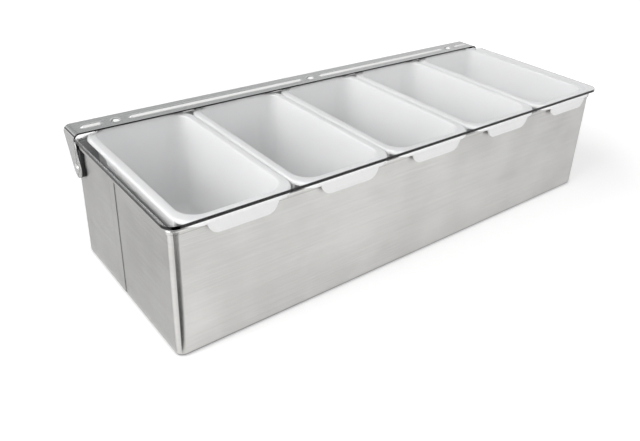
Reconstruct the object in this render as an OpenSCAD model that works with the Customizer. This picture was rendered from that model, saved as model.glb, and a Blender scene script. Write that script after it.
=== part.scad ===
// Bar caddy: a stainless steel tray housing with five lift-out plastic inserts and a
// clear lid that swings up on a folded hinge rail. Millimetres, +Z up, front towards -Y,
// origin on the table at the middle of the housing's base.

/* [Housing] */
// Outside depth of the housing, front to back
housing_w = 162; // [150:1:180]
// Height of the housing's rim above the table
housing_h = 100; // [95:1:130]
// Thickness of the housing's stainless sheet
sheet = 1; // [0.8:0.1:1.2]
// Outside radius of the upright corners
corner_r = 6; // [5.5:0.5:8]
// Outside radius where the walls turn under the base
foot_r = 2.5; // [2:0.5:3.5]
// Height of the hem that is folded outwards round the rim
hem_h = 2.8; // [2:0.2:5]
// Width of the lap where the two ends of the wall strip meet
lap_w = 9; // [6:1:14]
// How far the lap stands proud of the left end wall
lap_proud = 0.4; // [0.2:0.1:0.8]
// Distance of the lap behind the middle of the left end wall
lap_y = 9; // [-20:1:20]
// Height of the base pan's turned-up edge above the table
pan_h = 8; // [6:0.5:11]

/* [Inserts] */
// Width taken by each insert along the row
insert_pitch = 89; // [80:0.5:110]
// How much longer the housing is than the row of inserts
row_gap = 5; // [3:0.5:8]
// Free gap between the rims of neighbouring inserts
insert_gap = 0.5; // [0.2:0.1:1]
// How far the row of inserts has slid to the right
row_shift = 3; // [0:0.5:3.5]
// Overall depth of an insert below the top of its rim
insert_depth = 89; // [70:1:92]
// Thickness of the insert's rim
rim_t = 2.8; // [2.4:0.1:3.2]
// Radius that rounds the rim's upper edge
rim_edge_r = 2; // [1:0.2:2.2]
// How far the insert's rim reaches in front of the front wall
front_reach = 4.5; // [4:0.5:8]
// How far the insert's rim reaches behind the back wall
back_reach = 0.3; // [0.2:0.1:1]
// Width of the insert's rim beside the opening
side_rim = 7; // [5:0.5:10]
// Width of the insert's rim in front of the opening
front_rim = 12.5; // [10:0.5:16]
// Width of the insert's rim behind the opening
back_rim = 4; // [4:0.5:9]
// Corner radius of the rim at the front
rim_front_r = 12; // [6:1:14]
// Corner radius of the rim at the back
rim_back_r = 17; // [8:1:18]
// Thickness of the insert's moulded walls
tub_wall = 1.6; // [1.2:0.1:2.2]
// Draft of the insert's walls in degrees
tub_draft = 2.5; // [1:0.25:3.5]
// Corner radius of the opening
tub_r = 18; // [14:1:22]
// Radius between the insert's walls and its floor
floor_r = 8; // [4:1:9]
// Radius that eases the edge of the opening
mouth_r = 1.8; // [1:0.2:2.2]
// Width of the tab where it leaves the rim
tab_w = 61; // [44:1:63]
// How much narrower the tab is at its foot
tab_taper = 12.5; // [6:0.5:15]
// Reach of the tab below the top of the rim
tab_drop = 11.1; // [9.5:0.2:20]
// Thickness of the tab, of the rim's front edge and of its side lips
tab_t = 1.8; // [1.4:0.1:2.4]
// Radius of the tab's lower corners
tab_r = 4.5; // [2:0.5:6]
// Depth of the rim's front edge between the tabs
edge_h = 3.8; // [3.2:0.1:5]
// Distance of the lip under each side of the rim from the rim's edge
lip_in_x = 2; // [2:0.2:3]
// Reach of the side lip below the top of the rim
lip_h = 8.5; // [5:0.5:12]

/* [Lid] */
// Thickness of the clear lid sheet
lid_t = 2.5; // [2:0.5:4]
// How far the lid reaches past each end wall
lid_end_reach = 4; // [1:0.5:5]
// How far the lid reaches in front of the front wall
lid_front_reach = 5; // [4:0.5:10]
// How far the lid reaches behind the back wall
lid_back_reach = 9; // [8:0.5:11]
// Radius of the lid's front corners
lid_r = 9; // [4:1:15]
// Length of the notch in each back corner of the lid
notch_l = 19; // [15:1:26]
// How far the notch's end shows in front of the rail
notch_show = 6; // [2:0.5:8]

/* [Hinge] */
// Distance of the pivots in front of the back wall's face
pivot_in = 9; // [9:0.5:12]
// Depth of the pivots below the rim
pivot_down = 20.5; // [16:0.5:26]
// Front to back depth of the hinge rail
rail_w = 22; // [20:0.5:26]
// How far the hinge rail reaches behind the back wall
rail_back_reach = 12.5; // [11:0.5:16]
// Thickness of the hinge rail's sheet
rail_t = 1; // [0.8:0.1:1.5]
// Outside radius where the rail bends down into its arms
bend_r = 5; // [3:0.5:7]
// Free space between an end wall and the arm beside it
arm_gap = 2; // [1.6:0.1:5]
// Radius of the arm's rounded tip
arm_r = 8; // [6:0.5:8.5]
// Distance of the pressed bead from the rail's back edge
bead_in = 11.5; // [10:0.5:14]
// Radius of the bead's section
bead_r = 3.4; // [2.5:0.1:4]
// How far the bead rises above the rail
bead_rise = 1.6; // [1:0.1:2]
// Length of the flat left in the bead at each rivet
bead_break = 16; // [12:1:24]
// Length of the tapered point at each end of a bead
bead_tip = 5; // [3:0.5:8]
// Distance of each outer rivet from the housing's end wall
rivet_in = 34; // [26:1:80]

/* [Fasteners] */
// Radius of the rivets' shanks
shank_r = 2; // [1.5:0.1:2.4]
// Radius of the rivets' domed heads
head_r = 4; // [3.5:0.1:5]
// Height of the rivets' domed heads
head_h = 1.7; // [1:0.1:2.2]
// Radius of the rivets' flattened tails
tail_r = 2.9; // [2.6:0.1:3]
// Height of the rivets' flattened tails
tail_h = 0.8; // [0.6:0.1:1]
// Outside radius of the pivot spacers
spacer_r = 5; // [4:0.1:5.5]

/* [Clearances] */
// Radial clearance of every shank in its hole
hole_gap = 0.05; // [0.02:0.01:0.1]
// End clearance of a spacer and of a head beside its arm
side_gap = 0.1; // [0.05:0.05:0.3]
// Clearance of the swinging lid over the back of the inserts
sweep_gap = 0.25; // [0.2:0.05:1]
// Gap between the closed lid and the front of the inserts
rest_gap = 0.8; // [0.1:0.1:1.2]
// Clearance of the base pan inside the walls and inside their lip
pan_gap = 0.1; // [0.05:0.05:0.3]

/* [Hidden] */
$fn = 72;
ARC_STEPS = 8;
INSERT_COUNT = 5;
CUT = 1;

// Outside faces of the walls, and the centres of the upright corners
end_x = (insert_pitch * INSERT_COUNT + row_gap) / 2;
side_y = housing_w / 2;
corner_x = end_x - corner_r;
corner_y = side_y - corner_r;
lip_in = sheet + pan_gap;

// The row of inserts
row_x = row_shift - insert_pitch * INSERT_COUNT / 2;
rim_w = insert_pitch - insert_gap;
rim_top = housing_h + rim_t;
rim_front = -side_y - front_reach;
rim_back = side_y + back_reach;
mouth_w = rim_w - 2 * side_rim;
mouth_front = rim_front + front_rim;
mouth_back = rim_back - back_rim;
mouth_mid = (mouth_front + mouth_back) / 2;
tub_x = mouth_w / 2 - tub_r;
tub_y = (mouth_back - mouth_front) / 2 - tub_r;
tub_floor = rim_top - insert_depth + tub_wall;

// The hinge: the closed lid leans forward by lean, so that its front comes down on the rims
pivot_y = side_y - pivot_in;
pivot_z = housing_h - pivot_down;
swing_r = norm([rim_back - rim_edge_r - pivot_y, rim_top - rim_edge_r - pivot_z]) + rim_edge_r;
lid_rise = swing_r + sweep_gap;
front_arm = pivot_y - rim_front;
front_rise = rim_top + rest_gap - pivot_z;
lean = asin(lid_rise / norm([front_arm, front_rise])) - atan2(front_rise, front_arm);

// The rail and its arms, measured from the pivot line of the closed lid
rail_under = lid_rise + lid_t;
rail_top = rail_under + rail_t;
rail_back = side_y + rail_back_reach - pivot_y;
rail_front = rail_back - rail_w;
arm_in = end_x + arm_gap;
arm_out = arm_in + rail_t;
arm_top = rail_top - bend_r;
bead_y = rail_back - bead_in;
bead_z = rail_top + bead_rise - bead_r;
bead_end = arm_out - bend_r - CUT;
rivet_pitch = end_x - rivet_in;

// Points on an arc about [cx, cy], from angle a to angle b
function arc(cx, cy, r, a, b, steps = ARC_STEPS) =
    [for (i = [0 : steps]) [cx, cy] + r * [cos(a + (b - a) * i / steps),
                                          sin(a + (b - a) * i / steps)]];

// Angle at which a tangent from p touches a circle of radius r about the origin
function touch(p, r, side) = atan2(p[1], p[0]) + side * acos(r / norm(p));

// Radius of an insert's drafted wall at a height, from its corner centre
function wall_r(top_r, z) = top_r - (rim_top - z) * tan(tub_draft);

// Sweeps a profile (x outwards, y up) round a rectangle with rounded corners
module around(hx, hy) {
    for (c = [[hx, hy, 0], [-hx, hy, 90], [-hx, -hy, 180], [hx, -hy, 270]])
        translate([c[0], c[1], 0]) rotate(c[2]) rotate_extrude(angle = 90) children();
    for (s = [0, 1]) {
        mirror([s, 0, 0]) translate([hx, hy, 0]) rotate([90, 0, 0])
            linear_extrude(2 * hy) children();
        mirror([0, s, 0]) translate([-hx, hy, 0]) rotate([90, 0, 90])
            linear_extrude(2 * hx) children();
    }
}

// Outline of a plate between two corners, with its own radius at the front and at the back
module plate(x0, x1, y0, y1, front_r, back_r) {
    polygon([[x0, y0 + front_r], [x0 + front_r, y0], [x1 - front_r, y0], [x1, y0 + front_r],
             [x1, y1 - back_r], [x1 - back_r, y1], [x0 + back_r, y1], [x0, y1 - back_r]]);
    for (x = [x0 + front_r, x1 - front_r]) translate([x, y0 + front_r]) circle(front_r);
    for (x = [x0 + back_r, x1 - back_r]) translate([x, y1 - back_r]) circle(back_r);
}

// Section of a plate's edge, w wide, with its upper corner rounded
module edge_section(w) {
    polygon(concat(
        [[0, 0], [w, 0]],
        arc(w - rim_edge_r, rim_t - rim_edge_r, rim_edge_r, 0, 90),
        [[0, rim_t]]
    ));
}

// Rim plate of an insert: as plate() in outline, with its upper edge rounded
module soft_rim(half) {
    e = rim_edge_r;
    fr = rim_front_r;
    br = rim_back_r;
    linear_extrude(rim_t) polygon([
        [-half + e, rim_front + fr], [-half + fr, rim_front + e],
        [half - fr, rim_front + e], [half - e, rim_front + fr],
        [half - e, rim_back - br], [half - br, rim_back - e],
        [-half + br, rim_back - e], [-half + e, rim_back - br]]);
    for (s = [0, 1]) mirror([s, 0, 0]) {
        translate([half - fr, rim_front + fr, 0]) rotate(-90)
            rotate_extrude(angle = 90) edge_section(fr);
        translate([half - br, rim_back - br, 0])
            rotate_extrude(angle = 90) edge_section(br);
        translate([half - e, rim_back - br, 0]) rotate([90, 0, 0])
            linear_extrude(rim_back - br - rim_front - fr) edge_section(e);
    }
    translate([-half + fr, rim_front + e, 0]) rotate([90, 0, -90]) mirror([0, 0, 1])
        linear_extrude(2 * (half - fr)) edge_section(e);
    translate([-half + br, rim_back - e, 0]) rotate([90, 0, 90])
        linear_extrude(2 * (half - br)) edge_section(e);
}

// Domed head of a rivet, standing on z = 0
module dome() {
    ball_r = (head_r * head_r + head_h * head_h) / (2 * head_h);
    intersection() {
        translate([0, 0, head_h - ball_r]) sphere(ball_r);
        cylinder(h = head_h, r = head_r);
    }
}

// Rivet with its head on z = 0 and its tail formed below a grip
module rivet(grip) {
    dome();
    translate([0, 0, -grip - tail_h]) cylinder(h = grip + tail_h + head_h / 2, r = shank_r);
    translate([0, 0, -grip - tail_h]) cylinder(h = tail_h, r = tail_r);
}

// Section of the folded wall: foot lip, upright wall and outward hem
module wall_section() {
    polygon(concat(
        [[lip_in, 0]],
        arc(corner_r - foot_r, foot_r, foot_r, -90, 0),
        [[corner_r, housing_h - hem_h], [corner_r + sheet, housing_h - hem_h]],
        arc(corner_r, housing_h - sheet, sheet, 0, 180),
        arc(corner_r - foot_r, foot_r, foot_r - sheet, 0, -90),
        [[lip_in, sheet]]
    ));
}

// Steel strip wrapped into the four walls and lapped on the left end wall
module wall_wrap() {
    color("lightgray") difference() {
        union() {
            around(corner_x, corner_y) wall_section();
            translate([-end_x - lap_proud, lap_y - lap_w / 2, foot_r])
                cube([lap_proud + sheet / 2, lap_w, housing_h - hem_h - foot_r]);
        }
        translate([-end_x - CUT, pivot_y, pivot_z]) rotate([0, 90, 0])
            cylinder(h = 2 * (end_x + CUT), r = shank_r + hole_gap);
    }
}

// Section of the base pan: step down to the floor, rim on the lip and turned-up edge
module pan_section() {
    outer = corner_r - sheet - pan_gap;
    polygon(concat(
        [[0, 0], [sheet, 0], [sheet, sheet]],
        arc(outer - foot_r, sheet + foot_r, foot_r, -90, 0),
        [[outer, pan_h], [outer - sheet, pan_h]],
        arc(outer - foot_r, sheet + foot_r, foot_r - sheet, 0, -90),
        [[0, 2 * sheet]]
    ));
}

// Shallow steel pan that closes the base: its edge stands on the lip, its floor on the table
module base_pan() {
    color("silver") {
        around(corner_x, corner_y) pan_section();
        translate([-corner_x, -corner_y, 0]) cube([2 * corner_x, 2 * corner_y, sheet]);
    }
}

// Solid with an insert's drafted sides: top_r at the rim, a rounded floor at floor_z
module tub_form(top_r, floor_z, bottom_r, top_z, flare) {
    bend_z = floor_z + bottom_r;
    bend_x = wall_r(top_r, bend_z) - bottom_r / cos(tub_draft);
    flare_z = top_z - flare;
    around(tub_x, tub_y) polygon(concat(
        [[0, floor_z]],
        arc(bend_x, bend_z, bottom_r, -90, -tub_draft),
        flare > 0
            ? concat(arc(wall_r(top_r, flare_z) + flare, flare_z, flare, 180, 90),
                     [[wall_r(top_r, flare_z) + flare, top_z + CUT]])
            : [[wall_r(top_r, top_z), top_z]],
        [[0, flare > 0 ? top_z + CUT : top_z]]
    ));
    translate([-tub_x, -tub_y, floor_z])
        cube([2 * tub_x, 2 * tub_y, top_z - floor_z + (flare > 0 ? CUT : 0)]);
}

// Outline of the front tab, whose sides start at z = 0 and whose top is cut below the round edge
module tab_outline() {
    half = tab_w / 2;
    side_a = atan2(tab_taper / 2, tab_drop);
    corner = half - (tab_drop - tab_r) * tan(side_a) - tab_r / cos(side_a);
    top = half - rim_edge_r * tan(side_a);
    polygon(concat(
        [[-top, -rim_edge_r]],
        arc(-corner, -tab_drop + tab_r, tab_r, 180 + side_a, 270),
        arc(corner, -tab_drop + tab_r, tab_r, 270, 360 - side_a),
        [[top, -rim_edge_r]]
    ));
}

// One moulded insert, standing at the middle of its place in the row
module insert() {
    half = rim_w / 2;
    under = rim_top - insert_depth;
    lip_l = rim_back - rim_back_r - rim_front - rim_front_r;
    color("white") difference() {
        union() {
            translate([0, 0, housing_h]) soft_rim(half);
            translate([0, mouth_mid, 0])
                tub_form(tub_r + tub_wall, under, floor_r + tub_wall, housing_h + rim_t / 2, 0);
            translate([-half + rim_front_r, rim_front, rim_top - edge_h])
                cube([rim_w - 2 * rim_front_r, tab_t, edge_h - rim_edge_r]);
            translate([0, rim_front + tab_t, rim_top]) rotate([90, 0, 0])
                linear_extrude(tab_t) tab_outline();
            for (s = [0, 1]) mirror([s, 0, 0])
                translate([half - lip_in_x - tab_t, rim_front + rim_front_r, rim_top - lip_h])
                    cube([tab_t, lip_l, lip_h - rim_t / 2]);
        }
        translate([0, mouth_mid, 0]) tub_form(tub_r, tub_floor, floor_r, rim_top, mouth_r);
    }
}

// Puts a piece at its place in the row
module in_row(i) {
    translate([row_x + (i - 0.5) * insert_pitch, 0, 0]) children();
}

// Carries what swings with the lid from the pivot line to its closed place
module on_pivot() {
    translate([0, pivot_y, pivot_z]) rotate([lean, 0, 0]) children();
}

// Holes or shanks on the line of rivets through rail and lid
module rivet_line(z) {
    for (x = [-rivet_pitch, 0, rivet_pitch]) translate([x, bead_y, z]) children();
}

// Clear sheet lid with rounded front corners and notched back corners
module lid_panel() {
    half = end_x + lid_end_reach;
    front = -side_y - lid_front_reach - pivot_y;
    back = side_y + lid_back_reach - pivot_y;
    color("azure", 0.35) on_pivot() difference() {
        translate([0, 0, lid_rise]) linear_extrude(lid_t) difference() {
            plate(-half, half, front, back, lid_r, CUT);
            for (s = [-1, 1]) polygon([
                [s * (half + CUT), rail_front - notch_show], [s * (half - notch_l), rail_front],
                [s * (half - notch_l), back + CUT], [s * (half + CUT), back + CUT]]);
        }
        rivet_line(lid_rise - CUT) cylinder(h = lid_t + 2 * CUT, r = shank_r + hole_gap);
    }
}

// Side outline of the rail and its arms (x to the back, y up)
module arm_outline() {
    front_top = [rail_front, arm_top];
    back_top = [rail_back, arm_top];
    polygon(concat(
        [front_top],
        arc(0, 0, arm_r, touch(front_top, arm_r, 1), 360 + touch(back_top, arm_r, -1),
            3 * ARC_STEPS),
        [back_top, [rail_back, rail_top + CUT], [rail_front, rail_top + CUT]]
    ));
}

// Front outline of the folded rail: left arm, bend, top, bend, right arm
module rail_outline() {
    bend_x = arm_out - bend_r;
    foot_z = -arm_r - CUT;
    polygon(concat(
        [[-arm_out, foot_z]],
        arc(-bend_x, arm_top, bend_r, 180, 90),
        arc(bend_x, arm_top, bend_r, 90, 0),
        [[arm_out, foot_z], [arm_in, foot_z]],
        arc(bend_x, arm_top, bend_r - rail_t, 0, 90),
        arc(-bend_x, arm_top, bend_r - rail_t, 90, 180),
        [[-arm_in, foot_z]]
    ));
}

// Round bar with pointed ends, lying along X from a to b
module bead_bar(a, b, r) {
    translate([a + bead_tip, 0, 0]) rotate([0, 90, 0]) cylinder(h = b - a - 2 * bead_tip, r = r);
    translate([a, 0, 0]) rotate([0, 90, 0]) cylinder(h = bead_tip, r1 = r / 4, r2 = r);
    translate([b - bead_tip, 0, 0]) rotate([0, 90, 0]) cylinder(h = bead_tip, r1 = r, r2 = r / 4);
}

// The runs of bead between the rivets, the same on both sides of the middle one
module beads(r) {
    gap = bead_break / 2;
    translate([0, bead_y, bead_z]) for (s = [0, 1]) mirror([s, 0, 0]) {
        bead_bar(gap, rivet_pitch - gap, r);
        bead_bar(rivet_pitch + gap, bead_end, r);
    }
}

// Folded stainless rail that clamps the lid's back edge and turns down into two arms
module hinge_rail() {
    color("gainsboro") on_pivot() difference() {
        union() {
            intersection() {
                translate([0, rail_back, 0]) rotate([90, 0, 0])
                    linear_extrude(rail_back + arm_r + CUT) rail_outline();
                translate([-arm_out - CUT, 0, 0]) rotate([90, 0, 90])
                    linear_extrude(2 * (arm_out + CUT)) arm_outline();
            }
            intersection() {
                beads(bead_r);
                translate([-arm_out, rail_front, rail_under])
                    cube([2 * arm_out, rail_w, rail_t + bead_rise + CUT]);
            }
        }
        intersection() {
            beads(bead_r - rail_t);
            translate([-arm_out, rail_front, rail_under - CUT])
                cube([2 * arm_out, rail_w, bead_rise + 2 * CUT]);
        }
        rivet_line(rail_under - CUT) cylinder(h = rail_t + 2 * CUT, r = shank_r + hole_gap);
        translate([-arm_out - CUT, 0, 0]) rotate([0, 90, 0])
            cylinder(h = 2 * (arm_out + CUT), r = shank_r + hole_gap);
    }
}

// Three domed rivets that hold the lid to its rail
module lid_rivets() {
    color("silver") on_pivot() rivet_line(rail_top) rivet(rail_t + lid_t);
}

// Two domed rivets on which the arms turn, one through each end wall
module pivot_rivets() {
    head_x = arm_out + side_gap;
    color("silver") for (s = [0, 1]) mirror([s, 0, 0])
        translate([head_x, pivot_y, pivot_z]) rotate([0, 90, 0])
            rivet(head_x - end_x + sheet);
}

// Two spacers that keep the arms clear of the end walls
module pivot_spacers() {
    color("dimgray") for (s = [0, 1]) mirror([s, 0, 0])
        translate([end_x, pivot_y, pivot_z]) rotate([0, 90, 0]) difference() {
            cylinder(h = arm_gap - side_gap, r = spacer_r);
            translate([0, 0, -CUT]) cylinder(h = arm_gap + CUT, r = shank_r + hole_gap);
        }
}

wall_wrap();
base_pan();
in_row(1) insert();  // insert_1
in_row(2) insert();  // insert_2
in_row(3) insert();  // insert_3
in_row(4) insert();  // insert_4
in_row(5) insert();  // insert_5
lid_panel();
hinge_rail();
lid_rivets();
pivot_rivets();
pivot_spacers();
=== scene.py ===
# Bar caddy: a stainless steel tray housing with five lift-out white inserts under a clear
# lid, whose back edge is riveted to a folded rail that swings on two arms. The housing, the
# lid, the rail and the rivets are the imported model's; the inserts and spacers are made here.
import math

import bmesh
import bpy
from mathutils import Matrix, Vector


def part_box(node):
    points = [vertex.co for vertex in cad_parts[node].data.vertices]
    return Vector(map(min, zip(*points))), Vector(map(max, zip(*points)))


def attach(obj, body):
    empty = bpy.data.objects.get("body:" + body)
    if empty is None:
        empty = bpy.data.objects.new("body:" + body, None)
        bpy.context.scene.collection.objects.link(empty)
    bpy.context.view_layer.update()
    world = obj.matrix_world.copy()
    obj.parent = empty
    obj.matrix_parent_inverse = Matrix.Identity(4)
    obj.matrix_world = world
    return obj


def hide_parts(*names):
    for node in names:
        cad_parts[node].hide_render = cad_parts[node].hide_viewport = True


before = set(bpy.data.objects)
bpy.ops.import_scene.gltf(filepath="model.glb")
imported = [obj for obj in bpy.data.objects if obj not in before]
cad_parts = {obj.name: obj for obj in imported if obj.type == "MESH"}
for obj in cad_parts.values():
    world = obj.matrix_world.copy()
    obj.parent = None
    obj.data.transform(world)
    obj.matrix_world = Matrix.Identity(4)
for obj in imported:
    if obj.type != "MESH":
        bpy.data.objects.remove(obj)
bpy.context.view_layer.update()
bpy.ops.object.select_all(action="DESELECT")

# The camera: a hand-held product view from the front left, a little rolled. Its place is
# in metres from the middle of the caddy's base, and the point its axis meets is given in
# pixels of the 640 by 441 frame.
CAMERA_AT = (-0.3696, -0.4110, 0.3259)
AZIMUTH, ELEVATION, ROLL = -40.63, 26.60, 3.21
FRAME_W, FRAME_H = 640, 441
FOCAL_PX = 677.5
AXIS_PX = (347.5, 163.9)
SENSOR_MM = 36
NEAREST = 0.01

bpy.ops.object.camera_add()
camera = bpy.context.object
camera.name = "studio_camera"
camera.matrix_world = (
    Matrix.Translation(CAMERA_AT)
    @ Matrix.Rotation(math.radians(AZIMUTH), 4, "Z")
    @ Matrix.Rotation(math.radians(90 - ELEVATION), 4, "X")
    @ Matrix.Rotation(math.radians(ROLL), 4, "Z")
)
camera.data.sensor_width = SENSOR_MM
camera.data.lens = FOCAL_PX / FRAME_W * SENSOR_MM
camera.data.shift_x = (FRAME_W / 2 - AXIS_PX[0]) / FRAME_W
camera.data.shift_y = (AXIS_PX[1] - FRAME_H / 2) / FRAME_W
camera.data.clip_start = NEAREST
camera.data.dof.use_dof = False
bpy.context.scene.camera = camera
bpy.context.scene.view_settings.view_transform = "Standard"

# The studio's room: white to the eye and in reflections near the horizon, and greyer towards
# the ceiling, as it is behind a softbox, which is what gives the rail its middle grey. A step's
# height is the sine of its angle over the horizon.
ROOM_LIGHT = 0.45
CEILING = ((0.10, "FFFFFF"), (0.34, "DADBDC"), (0.42, "A2A4A6"), (0.70, "8C8E90"))


def linear(code):
    """Turns an sRGB hex colour into the linear colour that a socket takes."""
    parts = [int(code[i:i + 2], 16) / 255 for i in (0, 2, 4)]
    return [c / 12.92 if c <= 0.04045 else ((c + 0.055) / 1.055) ** 2.4 for c in parts] + [1]


def node(tree, kind, sockets=None, **settings):
    """Adds a node. A socket is given a value, or another node's output to read."""
    made = tree.nodes.new(kind)
    for name, value in settings.items():
        setattr(made, name, value)
    for name, value in (sockets or {}).items():
        if isinstance(value, bpy.types.NodeSocket):
            tree.links.new(value, made.inputs[name])
        else:
            made.inputs[name].default_value = value
    return made


def highest(tree, *values):
    """Gives the highest of some values."""
    most = values[0]
    for value in values[1:]:
        most = node(tree, "ShaderNodeMath", {0: most, 1: value}, operation="MAXIMUM").outputs[0]
    return most


def seen_ray(tree):
    """Gives 1 for rays of the eye, of a mirror and through glass, and 0 for the rest."""
    path = node(tree, "ShaderNodeLightPath").outputs
    return highest(tree, path["Is Camera Ray"], path["Is Glossy Ray"], path["Is Transmission Ray"])


world = bpy.data.worlds.new("white_room")
bpy.context.scene.world = world
world.use_nodes = True
tree = world.node_tree
tree.nodes.clear()
rise = node(tree, "ShaderNodeSeparateXYZ",
            {0: node(tree, "ShaderNodeTexCoord").outputs["Generated"]}).outputs["Z"]
ceiling = node(tree, "ShaderNodeValToRGB", {0: rise})
steps = ceiling.color_ramp.elements
for step, (height, grey) in zip(steps, CEILING):
    step.position = height
    step.color = linear(grey)
for height, grey in CEILING[2:]:
    steps.new(height).color = linear(grey)
eye = node(tree, "ShaderNodeLightPath").outputs["Is Camera Ray"]
mirrored = node(tree, "ShaderNodeBackground", {"Color": ceiling.outputs["Color"], "Strength": 1.0})
white = node(tree, "ShaderNodeBackground", {"Color": linear("FFFFFF"), "Strength": 1.0})
soft = node(tree, "ShaderNodeBackground", {"Color": linear("FFFFFF"), "Strength": ROOM_LIGHT})
lit = node(tree, "ShaderNodeMixShader",
           {0: seen_ray(tree), 1: soft.outputs[0], 2: mirrored.outputs[0]})
shown = node(tree, "ShaderNodeMixShader", {0: eye, 1: lit.outputs[0], 2: white.outputs[0]})
node(tree, "ShaderNodeOutputWorld", {"Surface": shown.outputs[0]})

# The sweep: matt white paper. It glows a little to the eye, less near the caddy than further
# out, so that it is white all over and still keeps the caddy's shadow, and it glows a little in
# reflections, so that the steel walls mirror a white floor.
FLOOR_SIZE, FLOOR_GAP = 8, 0.0004
PAPER = "EDEDED"
GLOW_NEAR, GLOW_FAR, GLOW_TO_METAL = 0.36, 0.75, 0.15
NEAR_REACH, FAR_REACH = 0.30, 0.65


def new_material(name):
    """Starts a material with nothing in it."""
    made = bpy.data.materials.new(name)
    made.use_nodes = True
    made.node_tree.nodes.clear()
    return made


bpy.ops.mesh.primitive_plane_add(size=FLOOR_SIZE, location=(0, 0, -FLOOR_GAP))
floor = bpy.context.object
floor.name = "studio_floor"
paper = new_material("white_paper_sweep")
tree = paper.node_tree
matt = node(tree, "ShaderNodeBsdfDiffuse", {"Color": linear(PAPER)})
reach = node(tree, "ShaderNodeVectorMath", {
    0: node(tree, "ShaderNodeTexCoord").outputs["Object"]}, operation="LENGTH").outputs["Value"]
bright = node(tree, "ShaderNodeMapRange", {
    "Value": reach, "From Min": NEAR_REACH, "From Max": FAR_REACH,
    "To Min": GLOW_NEAR - GLOW_TO_METAL, "To Max": GLOW_FAR - GLOW_TO_METAL})
to_eye = node(tree, "ShaderNodeMath", {
    0: node(tree, "ShaderNodeLightPath").outputs["Is Camera Ray"],
    1: bright.outputs[0]}, operation="MULTIPLY")
to_metal = node(tree, "ShaderNodeMath", {
    0: seen_ray(tree), 1: GLOW_TO_METAL, 2: to_eye.outputs[0]}, operation="MULTIPLY_ADD")
glow = node(tree, "ShaderNodeEmission", {"Strength": to_metal.outputs[0]})
both = node(tree, "ShaderNodeAddShader", {0: matt.outputs[0], 1: glow.outputs[0]})
node(tree, "ShaderNodeOutputMaterial", {"Surface": both.outputs[0]})
floor.data.materials.append(paper)

# The lamps: three softboxes aimed at the middle of the base, a high and a low one at the left,
# which light the wells' right walls, and a wide one in front, which lights the front wall.
SOFTBOXES = {
    "softbox_left": {"at": (-1.70, 0.15, 1.40), "size": (1.3, 1.3), "watts": 17.5},
    "softbox_low": {"at": (-1.60, -0.10, 0.60), "size": (1.2, 1.0), "watts": 8},
    "softbox_front": {"at": (0.40, -1.60, 0.66), "size": (2.2, 1.2), "watts": 10.4},
}
for name, box in SOFTBOXES.items():
    bpy.ops.object.light_add(type="AREA", location=box["at"])
    lamp = bpy.context.object
    lamp.name = name
    lamp.data.shape = "RECTANGLE"
    lamp.data.size, lamp.data.size_y = box["size"]
    lamp.data.energy = box["watts"]
    aim = -lamp.location
    lamp.rotation_euler = aim.to_track_quat("-Z", "Y").to_euler()

# Cards that only reflections see, each a plane with its four corners moved to their places in
# turn. A black one lies before the front corner and gives it its dark edge, a grey one at the
# left darkens the end wall, and a bright one overhead draws the light line along the beads.
ON_FLOOR, OVERHEAD = 0.001, 1.2
CARDS = {
    "card_front": {"corners": ((-0.2255, -0.0835), (-0.380, -0.243), (-0.276, -0.303),
                               (-0.158, -0.292)),
                   "height": ON_FLOOR, "grey": "0C0C0C", "strength": 1},
    "card_left": {"corners": ((-0.227, -0.079), (-0.227, 0.50), (-0.90, 1.20), (-1.10, 0.45)),
                  "height": ON_FLOOR, "grey": "D6D6D6", "strength": 1},
    "card_overhead": {"corners": ((-0.7, -1.0), (-0.7, 0.8), (1.7, 0.8), (1.7, -1.0)),
                      "height": OVERHEAD, "grey": "FFFFFF", "strength": 1.25},
}
UNSEEN_BY = ("camera", "diffuse", "transmission", "shadow", "volume_scatter")
for name, card in CARDS.items():
    bpy.ops.mesh.primitive_plane_add(size=1)
    sheet = bpy.context.object
    sheet.name = name
    turn = sheet.data.polygons[0].vertices
    for corner, (x, y) in zip(turn, card["corners"]):
        sheet.data.vertices[corner].co = (x, y, card["height"])
    board = new_material(name + "_board")
    tree = board.node_tree
    glow = node(tree, "ShaderNodeEmission", {
        "Color": linear(card["grey"]), "Strength": card["strength"]})
    node(tree, "ShaderNodeOutputMaterial", {"Surface": glow.outputs[0]})
    sheet.data.materials.append(board)
    for ray in UNSEEN_BY:
        setattr(sheet, "visible_" + ray, False)
bpy.ops.object.select_all(action="DESELECT")

# The housing: AISI 304 strip wrapped round and lapped on the left end wall, and closed below by
# a shallow pan. The strip is cold rolled, so its lines run round all four walls and it mirrors
# softly, and it is very slightly wavy. Thin lines of painted shade darken the hem's foot, the
# lap's edges and the base's bend.
MM = 0.001
STEEL_TINTS = ((0.38, "CBCAC8"), (0.62, "DBDAD8"))
STEEL_POLISH = (0.262, 0.274)
# The colour of the painted shade along the hem's foot, the lap's edges and the base's bend.
CREASE_PAINTED_SHADE = "5A5A59"
# Rolling lines are finer than 0.1 mm, and are drawn 0.7 mm high so that they show.
GRAIN_HIGH, GRAIN_LONG = 0.7 * MM, 60 * MM
GRAIN_SHARE, GRAIN_DEEP = 0.4, 0.0003 * MM
WAVE_LONG, WAVE_DEEP = 55 * MM, 0.035 * MM
HEM_FOOT, HEM_LINE = 96.7 * MM, 0.45 * MM
BASE_BEND, BASE_LINE = 0.9 * MM, 1.35 * MM
LAP_EDGES, LAP_LINE, LAP_FAINT = (4.3 * MM, 13.7 * MM), 0.5 * MM, 0.45
END_WALL = 5 * MM
FULL_SHARE = 0.6


def finish(names, material):
    """Gives CAD nodes their material."""
    for name in names:
        part = bpy.data.objects[name]
        part.data.materials.clear()
        part.data.materials.append(material)


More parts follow.
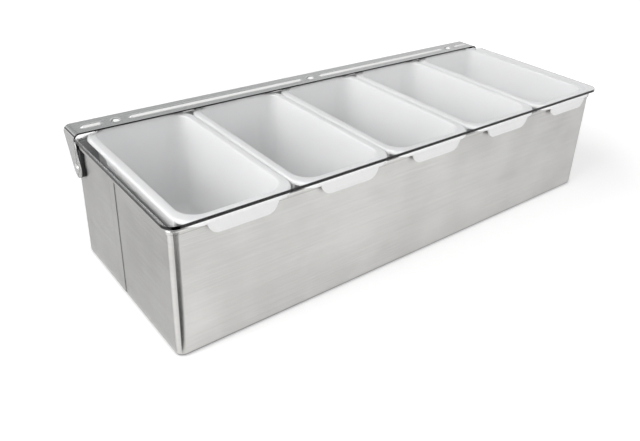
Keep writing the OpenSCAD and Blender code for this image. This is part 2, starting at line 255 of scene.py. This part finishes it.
def close_to(tree, value, goal, reach):
    """Gives 1 where a value is near a goal, and fades to 0 at its reach from it."""
    off = node(tree, "ShaderNodeMath", {0: value, 1: goal}, operation="SUBTRACT").outputs[0]
    size = node(tree, "ShaderNodeMath", {0: off}, operation="ABSOLUTE").outputs[0]
    return node(tree, "ShaderNodeMapRange", {
        "Value": size, "From Min": FULL_SHARE * reach, "From Max": reach,
        "To Min": 1.0, "To Max": 0.0}).outputs[0]


rolled = new_material("rolled_stainless_304")
tree = rolled.node_tree
place = node(tree, "ShaderNodeTexCoord").outputs["Object"]
along = node(tree, "ShaderNodeMapping", {
    "Vector": place, "Scale": (1 / GRAIN_LONG, 1 / GRAIN_LONG, 1 / GRAIN_HIGH)})
grain = node(tree, "ShaderNodeTexNoise", {
    "Vector": along.outputs[0], "Scale": 1.0, "Detail": 3.0, "Roughness": 0.6})
cloud = node(tree, "ShaderNodeTexNoise", {
    "Vector": place, "Scale": 1 / WAVE_LONG, "Detail": 3.0, "Roughness": 0.55})
# A Mix node's two values are its sockets 2 and 3, and its two colours are 6 and 7.
streak = node(tree, "ShaderNodeMix", {
    "Factor": GRAIN_SHARE, 2: cloud.outputs["Fac"], 3: grain.outputs["Fac"]})
tint = node(tree, "ShaderNodeValToRGB", {0: streak.outputs[0]})
for step, (level, grey) in zip(tint.color_ramp.elements, STEEL_TINTS):
    step.position = level
    step.color = linear(grey)
polish = node(tree, "ShaderNodeMapRange", {
    "Value": grain.outputs["Fac"], "To Min": STEEL_POLISH[0], "To Max": STEEL_POLISH[1]})
spot = node(tree, "ShaderNodeSeparateXYZ", {0: place}).outputs
on_end = node(tree, "ShaderNodeMath", {0: spot["X"], 1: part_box("wall_wrap")[0][0] + END_WALL},
              operation="LESS_THAN").outputs[0]
# Painted shade: thin dark lines where shade falls, along the lap's edges on the end wall, under
# the hem's foot and round the base's bend.
lap = highest(tree, *[close_to(tree, spot["Y"], y, LAP_LINE) for y in LAP_EDGES])
lap = node(tree, "ShaderNodeMath", {0: lap, 1: on_end}, operation="MULTIPLY").outputs[0]
lap = node(tree, "ShaderNodeMath", {0: lap, 1: LAP_FAINT}, operation="MULTIPLY").outputs[0]
crease_shade = highest(tree, lap, close_to(tree, spot["Z"], HEM_FOOT, HEM_LINE),
                 close_to(tree, spot["Z"], BASE_BEND, BASE_LINE))
shade = node(tree, "ShaderNodeMix", {
    "Factor": crease_shade, 6: tint.outputs["Color"], 7: linear(CREASE_PAINTED_SHADE)}, data_type="RGBA")
wave = node(tree, "ShaderNodeBump", {
    "Height": cloud.outputs["Fac"], "Distance": WAVE_DEEP, "Strength": 0.6})
lines = node(tree, "ShaderNodeBump", {
    "Height": grain.outputs["Fac"], "Distance": GRAIN_DEEP, "Strength": 0.5,
    "Normal": wave.outputs[0]})
round_z = node(tree, "ShaderNodeTangent", direction_type="RADIAL", axis="Z")
steel = node(tree, "ShaderNodeBsdfPrincipled", {
    "Base Color": shade.outputs[2], "Metallic": 1.0, "Roughness": polish.outputs[0],
    "Anisotropic": 0.95, "Anisotropic Rotation": 0.25,
    "Tangent": round_z.outputs[0], "Normal": lines.outputs[0]})
node(tree, "ShaderNodeOutputMaterial", {"Surface": steel.outputs[0]})
finish(["wall_wrap", "base_pan"], rolled)

# The five inserts: injection moulded white ABS, which looks bright and softly satin from the
# mould's fine texture. Each is a drafted well with a rolled rim, a lip under each side of the
# rim, and a tab that hooks over the front wall.
INSERT_WHITE = "F2F2F2"
INSERT_GLOSS = (0.42, 0.54)
# The mould's texture is finer than 0.1 mm, and is drawn 0.6 mm wide so that it shows.
TEXTURE_WIDE, TEXTURE_DEEP = 0.6 * MM, 0.01 * MM
FLOW_LONG = 40 * MM
MOUTH_W, WELL_DEPTH = 74.5 * MM, 87.4 * MM
FRONT_RIM, BACK_RIM = 7.7 * MM, 4 * MM
WELL_R, FLOOR_R, DRAFT = 15 * MM, 8 * MM, 2.5
MOUTH_ROLL, RIM_ROLL = 1.6 * MM, 2.2 * MM
RIM_DEEP, FRONT_DEEP = 2.8 * MM, 3.8 * MM
TAB_TOP, TAB_FOOT, TAB_DEEP, TAB_R = 56.8 * MM, 48.5 * MM, 11.1 * MM, 4.5 * MM
WALL = 1.6 * MM
LIP_IN = {-1: 0.3 * MM, 1: 2 * MM}
LIP_DEEP, LIP_FRONT, LIP_BACK = 8.5 * MM, 10 * MM, 50 * MM
WELL_STEPS, FLOOR_STEPS, RIM_STEPS, MOUTH_STEPS, TAB_STEPS = 12, 7, 6, 5, 5
INSERT_SMOOTH = 40
INSERTS = 5
NEAR = 0.02 * MM


def pick(kind, test):
    """In edit mode, selects the vertices, edges or faces all of whose corners pass a test."""
    bpy.ops.mesh.select_mode(type=kind)
    bpy.ops.mesh.select_all(action="DESELECT")
    shape = bmesh.from_edit_mesh(bpy.context.object.data)
    for item in {"VERT": shape.verts, "EDGE": shape.edges, "FACE": shape.faces}[kind]:
        item.select_set(all(test(v.co) for v in getattr(item, "verts", [item])))
    shape.select_flush_mode()
    bmesh.update_edit_mesh(bpy.context.object.data)


def at(level):
    """Gives a test for points at a height."""
    return lambda c: abs(c.z - level) < NEAR


def pull_down(depth):
    """Extrudes the selection downwards."""
    bpy.ops.mesh.extrude_region_move(TRANSFORM_OT_translate={"value": (0, 0, -depth)})


def over_well(c):
    """Says if a point lies over the opening."""
    return abs(c.x - mid) < MOUTH_W / 2 + NEAR and near - NEAR < c.y < far + NEAR


moulded = new_material("moulded_white_abs")
tree = moulded.node_tree
place = node(tree, "ShaderNodeTexCoord").outputs["Object"]
spark = node(tree, "ShaderNodeTexNoise", {
    "Vector": place, "Scale": 1 / TEXTURE_WIDE, "Detail": 2.0, "Roughness": 0.5})
flow = node(tree, "ShaderNodeTexNoise", {
    "Vector": place, "Scale": 1 / FLOW_LONG, "Detail": 2.0, "Roughness": 0.5})
gloss = node(tree, "ShaderNodeMapRange", {
    "Value": flow.outputs["Fac"], "To Min": INSERT_GLOSS[0], "To Max": INSERT_GLOSS[1]})
skin = node(tree, "ShaderNodeBump", {
    "Height": spark.outputs["Fac"], "Distance": TEXTURE_DEEP, "Strength": 0.4})
plastic = node(tree, "ShaderNodeBsdfPrincipled", {
    "Base Color": linear(INSERT_WHITE), "Roughness": gloss.outputs[0], "IOR": 1.53,
    "Subsurface Weight": 0.15, "Subsurface Radius": (1.0, 0.95, 0.9), "Subsurface Scale": 2 * MM,
    "Normal": skin.outputs[0]})
node(tree, "ShaderNodeOutputMaterial", {"Surface": plastic.outputs[0]})

# The well: a block the size of the opening, with its top open, its sides drafted and its
# corners rounded. It stands in the middle of the row and is copied to the five places.
(left, front, _), (right, back, top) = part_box("insert_3")
mid = (left + right) / 2
near, far = front + FRONT_RIM, back - BACK_RIM
ground = top - WELL_DEPTH
bpy.ops.mesh.primitive_cube_add(size=1, location=(mid, (near + far) / 2, (top + ground) / 2),
                                scale=(MOUTH_W, far - near, WELL_DEPTH))
bpy.ops.object.transform_apply()
bpy.ops.object.mode_set(mode="EDIT")
pick("FACE", at(top))
bpy.ops.mesh.delete(type="FACE")
slant = 2 * WELL_DEPTH * math.tan(math.radians(DRAFT))
pick("VERT", at(ground))
bpy.ops.transform.resize(value=(1 - slant / MOUTH_W, 1 - slant / (far - near), 1),
                         center_override=(mid, (near + far) / 2, ground))
bpy.ops.mesh.select_mode(type="EDGE")
bpy.ops.mesh.select_all(action="DESELECT")
shape = bmesh.from_edit_mesh(bpy.context.object.data)
for edge in shape.edges:
    edge.select_set(abs(edge.verts[0].co.z - edge.verts[1].co.z) > WELL_DEPTH / 2)
bmesh.update_edit_mesh(bpy.context.object.data)
bpy.ops.mesh.bevel(offset=WELL_R, offset_type="OFFSET", segments=WELL_STEPS, affect="EDGES")
pick("EDGE", at(ground))
bpy.ops.mesh.bevel(offset=FLOOR_R, offset_type="OFFSET", segments=FLOOR_STEPS, affect="EDGES")

# The rim: drawn out from the opening to the outline of the rim, then turned down and rolled.
wide = (right - left) / MOUTH_W
deep = (back - front) / (far - near)
pick("EDGE", at(top))
bpy.ops.mesh.extrude_region_move()
bpy.ops.transform.resize(value=(wide, deep, 1),
                         center_override=(mid, (deep * near - front) / (deep - 1), top))
pull_down(RIM_DEEP)
pick("EDGE", lambda c: abs(c.z - top) < NEAR and not over_well(c))
bpy.ops.mesh.bevel(offset=RIM_ROLL, offset_type="OFFSET", segments=RIM_STEPS, affect="EDGES")
pick("EDGE", lambda c: abs(c.z - top) < NEAR and over_well(c))
bpy.ops.mesh.bevel(offset=MOUTH_ROLL, offset_type="OFFSET", segments=MOUTH_STEPS, affect="EDGES")

# The tab: the front edge is drawn down, cut at the tab's sides and drawn down again there.
pick("EDGE", lambda c: abs(c.z - top + RIM_DEEP) < NEAR and c.y < front + NEAR)
pull_down(FRONT_DEEP - RIM_DEEP)
for side in (-1, 1):
    pick("FACE", lambda c: c.z < top - RIM_DEEP + NEAR and c.y < front + NEAR)
    bpy.ops.mesh.bisect(plane_co=(mid + side * TAB_TOP / 2, 0, 0), plane_no=(1, 0, 0))
pick("EDGE", lambda c: abs(c.z - top + FRONT_DEEP) < NEAR and abs(c.x - mid) < TAB_TOP / 2 + NEAR)
pull_down(TAB_DEEP - FRONT_DEEP)
bpy.ops.transform.resize(value=(TAB_FOOT / TAB_TOP, 1, 1), center_override=(mid, front, 0))
pick("VERT", at(top - TAB_DEEP))
bpy.ops.mesh.bevel(offset=TAB_R, offset_type="OFFSET", segments=TAB_STEPS, affect="VERTICES")
bpy.ops.object.mode_set(mode="OBJECT")
pattern = bpy.context.object

# The wall grows behind the drawn surface, and the two lips are added under the rim's sides.
bpy.ops.object.modifier_add(type="SOLIDIFY")
pattern.modifiers[-1].thickness = WALL
pattern.modifiers[-1].offset = 1
bpy.ops.object.modifier_apply(modifier=pattern.modifiers[-1].name)
lip_long = back - front - LIP_FRONT - LIP_BACK
for side in (-1, 1):
    bpy.ops.mesh.primitive_cube_add(
        size=1, scale=(WALL, lip_long, LIP_DEEP - WALL),
        location=(mid + side * ((right - left - WALL) / 2 - LIP_IN[side]),
                  front + LIP_FRONT + lip_long / 2, top - (LIP_DEEP + WALL) / 2))
    bpy.ops.object.transform_apply()
    pattern.select_set(True)
    bpy.context.view_layer.objects.active = pattern
    bpy.ops.object.join()
bpy.ops.object.mode_set(mode="EDIT")
bpy.ops.mesh.select_all(action="SELECT")
bpy.ops.mesh.normals_make_consistent(inside=False)
bpy.ops.object.mode_set(mode="OBJECT")
bpy.ops.object.shade_smooth_by_angle(angle=math.radians(INSERT_SMOOTH))
pattern.data.materials.append(moulded)
for i in range(1, INSERTS + 1):
    bpy.ops.object.select_all(action="DESELECT")
    pattern.select_set(True)
    bpy.context.view_layer.objects.active = pattern
    bpy.ops.object.duplicate()
    piece = bpy.context.object
    piece.name = "moulded_insert_%d" % i
    piece.location.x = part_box("insert_%d" % i)[0][0] - left
    bpy.ops.object.transform_apply(location=True, rotation=False, scale=False)
    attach(piece, "housing")
    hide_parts("insert_%d" % i)
bpy.data.objects.remove(pattern)
bpy.ops.object.select_all(action="DESELECT")

# The lid: cast acrylic sheet, riveted under the rail. It is clear and polished, with faint
# wiping marks that haze what it mirrors here and there, and light from the lamps goes straight
# through it to the inserts.
SHEET_TINT = "FCFCFC"
WIPE_LONG, WIPE_HAZE = 25 * MM, 0.03

acrylic = new_material("clear_acrylic_sheet")
tree = acrylic.node_tree
place = node(tree, "ShaderNodeTexCoord").outputs["Object"]
wipes = node(tree, "ShaderNodeTexNoise", {
    "Vector": place, "Scale": 1 / WIPE_LONG, "Detail": 4.0, "Roughness": 0.6})
haze = node(tree, "ShaderNodeMapRange", {
    "Value": wipes.outputs["Fac"], "From Min": 0.4, "From Max": 0.8,
    "To Min": 0.0, "To Max": WIPE_HAZE})
glass = node(tree, "ShaderNodeBsdfPrincipled", {
    "Base Color": linear(SHEET_TINT), "Roughness": haze.outputs[0], "IOR": 1.49,
    "Transmission Weight": 1.0})
clear = node(tree, "ShaderNodeBsdfTransparent", {"Color": linear(SHEET_TINT)})
lamp_ray = node(tree, "ShaderNodeLightPath").outputs["Is Shadow Ray"]
shown = node(tree, "ShaderNodeMixShader", {0: lamp_ray, 1: glass.outputs[0], 2: clear.outputs[0]})
node(tree, "ShaderNodeOutputMaterial", {"Surface": shown.outputs[0]})
finish(["lid_panel"], acrylic)

# The hinge rail: AISI 304 sheet, folded, and pressed with a bead between the rivets. It is
# brushed along its length, which draws out what it mirrors. Its front edge and the arms' inner
# faces are painted near black, as painted shade and a painted dark reflection.
RAIL_TINTS = ((0.3, "CACAC9"), (0.7, "E0E0DF"))
RAIL_POLISH = (0.18, 0.36)
# The colour of the painted shade on the rail's front edge and on the arms' inner faces.
EDGE_PAINTED_SHADE = "101010"
RAIL_W, RAIL_SHEET = 22 * MM, 1 * MM
FRONT_SHADE_REACH, ARM_SHADE_REACH = 0.5 * MM, 0.35 * MM
# Brushing lines are finer than 0.1 mm, and are drawn 0.35 mm wide so that they show.
BRUSH_LONG, BRUSH_WIDE, BRUSH_DEEP = 45 * MM, 0.35 * MM, 0.02 * MM

brushed = new_material("brushed_stainless_304")
tree = brushed.node_tree
place = node(tree, "ShaderNodeTexCoord").outputs["Object"]
along = node(tree, "ShaderNodeMapping", {
    "Vector": place, "Scale": (1 / BRUSH_LONG, 1 / BRUSH_WIDE, 1 / BRUSH_WIDE)})
grain = node(tree, "ShaderNodeTexNoise", {
    "Vector": along.outputs[0], "Scale": 1.0, "Detail": 4.0, "Roughness": 0.65})
tint = node(tree, "ShaderNodeValToRGB", {0: grain.outputs["Fac"]})
for step, (level, grey) in zip(tint.color_ramp.elements, RAIL_TINTS):
    step.position = level
    step.color = linear(grey)
polish = node(tree, "ShaderNodeMapRange", {
    "Value": grain.outputs["Fac"], "To Min": RAIL_POLISH[0], "To Max": RAIL_POLISH[1]})
lines = node(tree, "ShaderNodeBump", {
    "Height": grain.outputs["Fac"], "Distance": BRUSH_DEEP, "Strength": 0.5})
spot = node(tree, "ShaderNodeSeparateXYZ", {0: place}).outputs
off_middle = node(tree, "ShaderNodeMath", {0: spot["X"]}, operation="ABSOLUTE").outputs[0]
rail_end, rail_back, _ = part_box("hinge_rail")[1]
# Painted shade: a dark band along the front edge and over each arm's inner face.
painted_edge_shade = highest(tree, close_to(tree, spot["Y"], rail_back - RAIL_W, FRONT_SHADE_REACH),
                  close_to(tree, off_middle, rail_end - RAIL_SHEET, ARM_SHADE_REACH))
shade = node(tree, "ShaderNodeMix", {
    "Factor": painted_edge_shade, 6: tint.outputs["Color"], 7: linear(EDGE_PAINTED_SHADE)}, data_type="RGBA")
steel = node(tree, "ShaderNodeBsdfPrincipled", {
    "Base Color": shade.outputs[2], "Metallic": 1.0, "Roughness": polish.outputs[0],
    "Normal": lines.outputs[0]})
node(tree, "ShaderNodeOutputMaterial", {"Surface": steel.outputs[0]})
finish(["hinge_rail"], brushed)

# The rivets: headed from stainless wire and tumbled, which leaves them bright, with fine
# handling marks that break up the highlight. Three hold the lid and two are its pivots.
RIVET_STEEL = "E2E2E1"
RIVET_POLISH = (0.06, 0.20)
TUMBLE_WIDE = 1.5 * MM

tumbled = new_material("tumbled_stainless_wire")
tree = tumbled.node_tree
place = node(tree, "ShaderNodeTexCoord").outputs["Object"]
marks = node(tree, "ShaderNodeTexNoise", {
    "Vector": place, "Scale": 1 / TUMBLE_WIDE, "Detail": 3.0, "Roughness": 0.6})
polish = node(tree, "ShaderNodeMapRange", {
    "Value": marks.outputs["Fac"], "To Min": RIVET_POLISH[0], "To Max": RIVET_POLISH[1]})
steel = node(tree, "ShaderNodeBsdfPrincipled", {
    "Base Color": linear(RIVET_STEEL), "Metallic": 1.0, "Roughness": polish.outputs[0]})
node(tree, "ShaderNodeOutputMaterial", {"Surface": steel.outputs[0]})
finish(["lid_rivets", "pivot_rivets"], tumbled)

# The pivot spacers: flat moulded plates of black nylon, which look dull and nearly black. The
# pivot rivets hold them between the arms and the end walls. Each is round at the foot like its
# arm and ends under the hem. Above the pivot, its black fills the gap between arm and end wall,
# and there it stands in partly for shade.
NYLON_BLACK = "0E0E0F"
NYLON_SHEEN = (0.40, 0.58)
WEAR_WIDE = 0.4 * MM
# Drawn up to the hem, the plates' black stands in partly for the shade between each arm and its
# end wall.
PLATE_R, PLATE_TOP, PLATE_THICK = 7.8 * MM, 96.5 * MM, 1.9 * MM
PIVOT_HOLE_R, PLATE_EDGE = 2.05 * MM, 0.2 * MM
FOOT_STEPS, HOLE_STEPS = 48, 24
PLATE_SMOOTH, PLATE_FLAT = 30, 1

nylon = new_material("moulded_black_nylon")
tree = nylon.node_tree
place = node(tree, "ShaderNodeTexCoord").outputs["Object"]
scuffs = node(tree, "ShaderNodeTexNoise", {
    "Vector": place, "Scale": 1 / WEAR_WIDE, "Detail": 2.0, "Roughness": 0.5})
sheen = node(tree, "ShaderNodeMapRange", {
    "Value": scuffs.outputs["Fac"], "To Min": NYLON_SHEEN[0], "To Max": NYLON_SHEEN[1]})
plastic = node(tree, "ShaderNodeBsdfPrincipled", {
    "Base Color": linear(NYLON_BLACK), "Roughness": sheen.outputs[0], "IOR": 1.53})
node(tree, "ShaderNodeOutputMaterial", {"Surface": plastic.outputs[0]})

# A disc round the pivot, whose upper half is drawn up to a straight top, and whose middle is
# drilled for the rivet.
(_, ring_near, ring_low), (ring_side, ring_far, ring_high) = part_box("pivot_spacers")
pivot_y, pivot_z = (ring_near + ring_far) / 2, (ring_low + ring_high) / 2
plates = []
for side in (-1, 1):
    middle = (side * (ring_side - PLATE_THICK / 2), pivot_y, pivot_z)
    bpy.ops.mesh.primitive_cylinder_add(
        vertices=HOLE_STEPS, radius=PIVOT_HOLE_R, depth=3 * PLATE_THICK,
        location=middle, rotation=(0, math.pi / 2, 0))
    drill = bpy.context.object
    bpy.ops.mesh.primitive_cylinder_add(
        vertices=FOOT_STEPS, radius=PLATE_R, depth=PLATE_THICK,
        location=middle, rotation=(0, math.pi / 2, 0))
    plate = bpy.context.object
    bpy.ops.object.transform_apply()
    bpy.ops.object.mode_set(mode="EDIT")
    pick("VERT", lambda c: c.z > pivot_z + NEAR)
    bpy.ops.transform.resize(value=(1, 1, 0), center_override=(0, 0, PLATE_TOP))
    bpy.ops.mesh.select_all(action="SELECT")
    bpy.ops.mesh.dissolve_limited(angle_limit=math.radians(PLATE_FLAT))
    bpy.ops.object.mode_set(mode="OBJECT")
    bpy.ops.object.modifier_add(type="BOOLEAN")
    plate.modifiers[-1].object = drill
    bpy.ops.object.modifier_apply(modifier=plate.modifiers[-1].name)
    bpy.ops.object.modifier_add(type="BEVEL")
    plate.modifiers[-1].width = PLATE_EDGE
    bpy.ops.object.modifier_apply(modifier=plate.modifiers[-1].name)
    bpy.data.objects.remove(drill)
    bpy.ops.object.shade_smooth_by_angle(angle=math.radians(PLATE_SMOOTH))
    plates.append(plate)
bpy.ops.object.select_all(action="DESELECT")
for plate in plates:
    plate.select_set(True)
bpy.context.view_layer.objects.active = plate
bpy.ops.object.join()
plate.name = "spacer_plates"
plate.data.materials.append(nylon)
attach(plate, "housing")
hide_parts("pivot_spacers")
bpy.ops.object.select_all(action="DESELECT")
